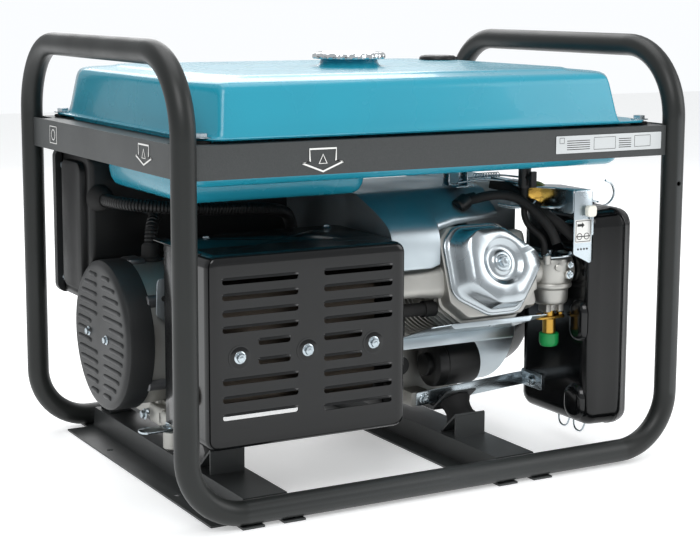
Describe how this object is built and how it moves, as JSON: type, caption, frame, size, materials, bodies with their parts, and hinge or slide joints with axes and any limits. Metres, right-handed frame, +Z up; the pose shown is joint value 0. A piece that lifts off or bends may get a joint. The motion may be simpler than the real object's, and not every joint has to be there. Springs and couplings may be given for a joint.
{
  "type": "portable generator",
  "caption": "Open-frame petrol generator: tilted air-cooled engine and alternator on rubber mounts in a bent tube frame, fuel tank on top, control box on the far side.",
  "frame": {"origin": "bottom centre of the whole machine, where it stands on the ground", "axes": "+X towards the air-cleaner end, -X the alternator end, +Y towards the control panel side, -Y the exhaust side, +Z up"},
  "size_m": [0.69, 0.52, 0.535],
  "materials": {
    "frame_paint": "satin anthracite paint",
    "black_enamel": "gloss black enamel",
    "tank_enamel": "gloss turquoise enamel",
    "zinc_sheet": "galvanised sheet",
    "cast_alloy": "as-cast aluminium",
    "iron": "machined iron",
    "steel": "bright steel",
    "cap_chrome": "polished chrome",
    "muffler_steel": "heat-toned steel",
    "rubber_black": "matt black rubber",
    "dark_plastic": "fine-grained black plastic",
    "grey_plastic": "grey plastic",
    "white_plastic": "white plastic",
    "foam": "filter foam",
    "copper_pack": "varnished laminations"
  },
  "bodies": {
    "machine": {"frame_loop_left": "frame_paint", "frame_loop_right": "frame_paint", "tank_rails": "frame_paint", "cross_members": "frame_paint", "support_brackets": "steel", "rubber_mounts": "rubber_black", "hex_bolts": "steel", "flange_bolts": "steel", "tank_upper_shell": "tank_enamel", "tank_lower_shell": "tank_enamel", "tank_bushings": "rubber_black", "fuel_gauge": "dark_plastic", "fuel_tap": "dark_plastic", "fuel_hose": "rubber_black", "crankcase": "cast_alloy", "cylinder_head": "cast_alloy", "valve_cover": "steel", "piston_set": "cast_alloy", "fan_housing": "zinc_sheet", "upper_shroud": "zinc_sheet", "lower_shroud": "zinc_sheet", "recoil_housing": "black_enamel", "starter_motor": "black_enamel", "spark_plug": "rubber_black", "muffler": "muffler_steel", "heat_shield": "black_enamel", "carburettor": "cast_alloy", "fuel_cut_solenoid": "steel", "control_bracket": "zinc_sheet", "air_filter_base": "black_enamel", "air_filter_element": "foam", "filter_strap": "steel", "alternator_bell": "cast_alloy", "stator": "copper_pack", "end_bracket": "cast_alloy", "end_cover": "dark_plastic", "conduits": "dark_plastic", "control_box": "dark_plastic", "control_panel": "dark_plastic", "socket_bodies": "grey_plastic"},
    "crank": {"crankshaft": "steel", "flywheel_fan": "iron", "rotor": "copper_pack"},
    "reel": {"recoil_pulley": "dark_plastic"},
    "grip": {"recoil_handle": "dark_plastic"},
    "cap_seal": {"fuel_cap_seal": "rubber_black"},
    "cap": {"fuel_cap": "cap_chrome"},
    "needle": {"gauge_needle": "white_plastic"},
    "tap_lever": {"fuel_tap_lever": "dark_plastic"},
    "choke": {"choke_lever": "white_plastic"},
    "throttle": {"throttle_lever": "steel"},
    "filter_cover": {"air_filter_cover": "black_enamel"},
    "clip_upper": {"filter_clip_upper": "steel"},
    "clip_lower": {"filter_clip_lower": "steel"},
    "dipstick": {"oil_dipstick": "dark_plastic"},
    "lid_left": {"socket_lid_left": "grey_plastic"},
    "lid_right": {"socket_lid_right": "grey_plastic"},
    "lid_large": {"socket_lid_large": "grey_plastic"},
    "breaker": {"breaker_toggle": "white_plastic"},
    "key": {"ignition_key": "steel"}
  },
  "joints": [
    {"name": "crank_spin", "type": "hinge", "parent": "machine", "child": "crank", "pos_m": [0, 0.045, 0.168], "axis": [1, 0, 0], "continuous": true},
    {"name": "grip_pull", "type": "slide", "parent": "machine", "child": "grip", "axis": [0, 1, 0], "range_m": [0, 0.5]},
    {"name": "reel_turn", "type": "hinge", "parent": "machine", "child": "reel", "pos_m": [0.24, 0.045, 0.168], "axis": [-1, 0, 0], "range_deg": [0, 573]},
    {"name": "cap_lift", "type": "slide", "parent": "machine", "child": "cap_seal", "axis": [0, 0, 1], "range_m": [0, 0.06]},
    {"name": "cap_turn", "type": "hinge", "parent": "cap_seal", "child": "cap", "pos_m": [0, -0.01, 0.503], "axis": [0, 0, 1], "range_deg": [0, 90]},
    {"name": "needle_swing", "type": "hinge", "parent": "machine", "child": "needle", "pos_m": [0.214, 0.118, 0.498], "axis": [0, 0, 1], "range_deg": [-60, 60]},
    {"name": "tap_turn", "type": "hinge", "parent": "machine", "child": "tap_lever", "pos_m": [0.175, -0.1645, 0.358], "axis": [0, 1, 0], "range_deg": [0, 90]},
    {"name": "choke_swing", "type": "hinge", "parent": "machine", "child": "choke", "pos_m": [0.226, -0.218, 0.294], "axis": [0, -1, 0], "range_deg": [0, 50]},
    {"name": "throttle_swing", "type": "hinge", "parent": "machine", "child": "throttle", "pos_m": [0.208, -0.16, 0.26], "axis": [0, 0, 1], "range_deg": [0, 35]},
    {"name": "cover_pull", "type": "slide", "parent": "machine", "child": "filter_cover", "axis": [1, 0, 0], "range_m": [0, 0.09]},
    {"name": "clip_upper_swing", "type": "hinge", "parent": "filter_cover", "child": "clip_upper", "pos_m": [0.29, -0.138, 0.3198], "axis": [0, 1, 0], "range_deg": [0, 110]},
    {"name": "clip_lower_swing", "type": "hinge", "parent": "filter_cover", "child": "clip_lower", "pos_m": [0.29, -0.138, 0.0362], "axis": [0, -1, 0], "range_deg": [0, 80]},
    {"name": "dipstick_pull", "type": "slide", "parent": "machine", "child": "dipstick", "axis": [0, -1, 0], "range_m": [0, 0.06]},
    {"name": "lid_left_swing", "type": "hinge", "parent": "machine", "child": "lid_left", "pos_m": [-0.15, 0.2527, 0.31], "axis": [1, 0, 0], "range_deg": [0, 100], "stiffness_Nm_per_rad": 0.01, "springref_deg": -11.46},
    {"name": "lid_right_swing", "type": "hinge", "parent": "machine", "child": "lid_right", "pos_m": [-0.082, 0.2527, 0.31], "axis": [1, 0, 0], "range_deg": [0, 100], "stiffness_Nm_per_rad": 0.01, "springref_deg": -11.46},
    {"name": "lid_large_swing", "type": "hinge", "parent": "machine", "child": "lid_large", "pos_m": [-0.008, 0.2527, 0.318], "axis": [1, 0, 0], "range_deg": [0, 100], "stiffness_Nm_per_rad": 0.01, "springref_deg": -11.46},
    {"name": "breaker_rock", "type": "hinge", "parent": "machine", "child": "breaker", "pos_m": [-0.218, 0.238, 0.285], "axis": [1, 0, 0], "range_deg": [-15, 15]},
    {"name": "key_turn", "type": "hinge", "parent": "machine", "child": "key", "pos_m": [-0.276, 0.245, 0.285], "axis": [0, 1, 0], "range_deg": [0, 90]}
  ],
  "couplings": [
    {"joint": "reel_turn", "follows": "grip_pull", "rad_per_m": 20}
  ]
}
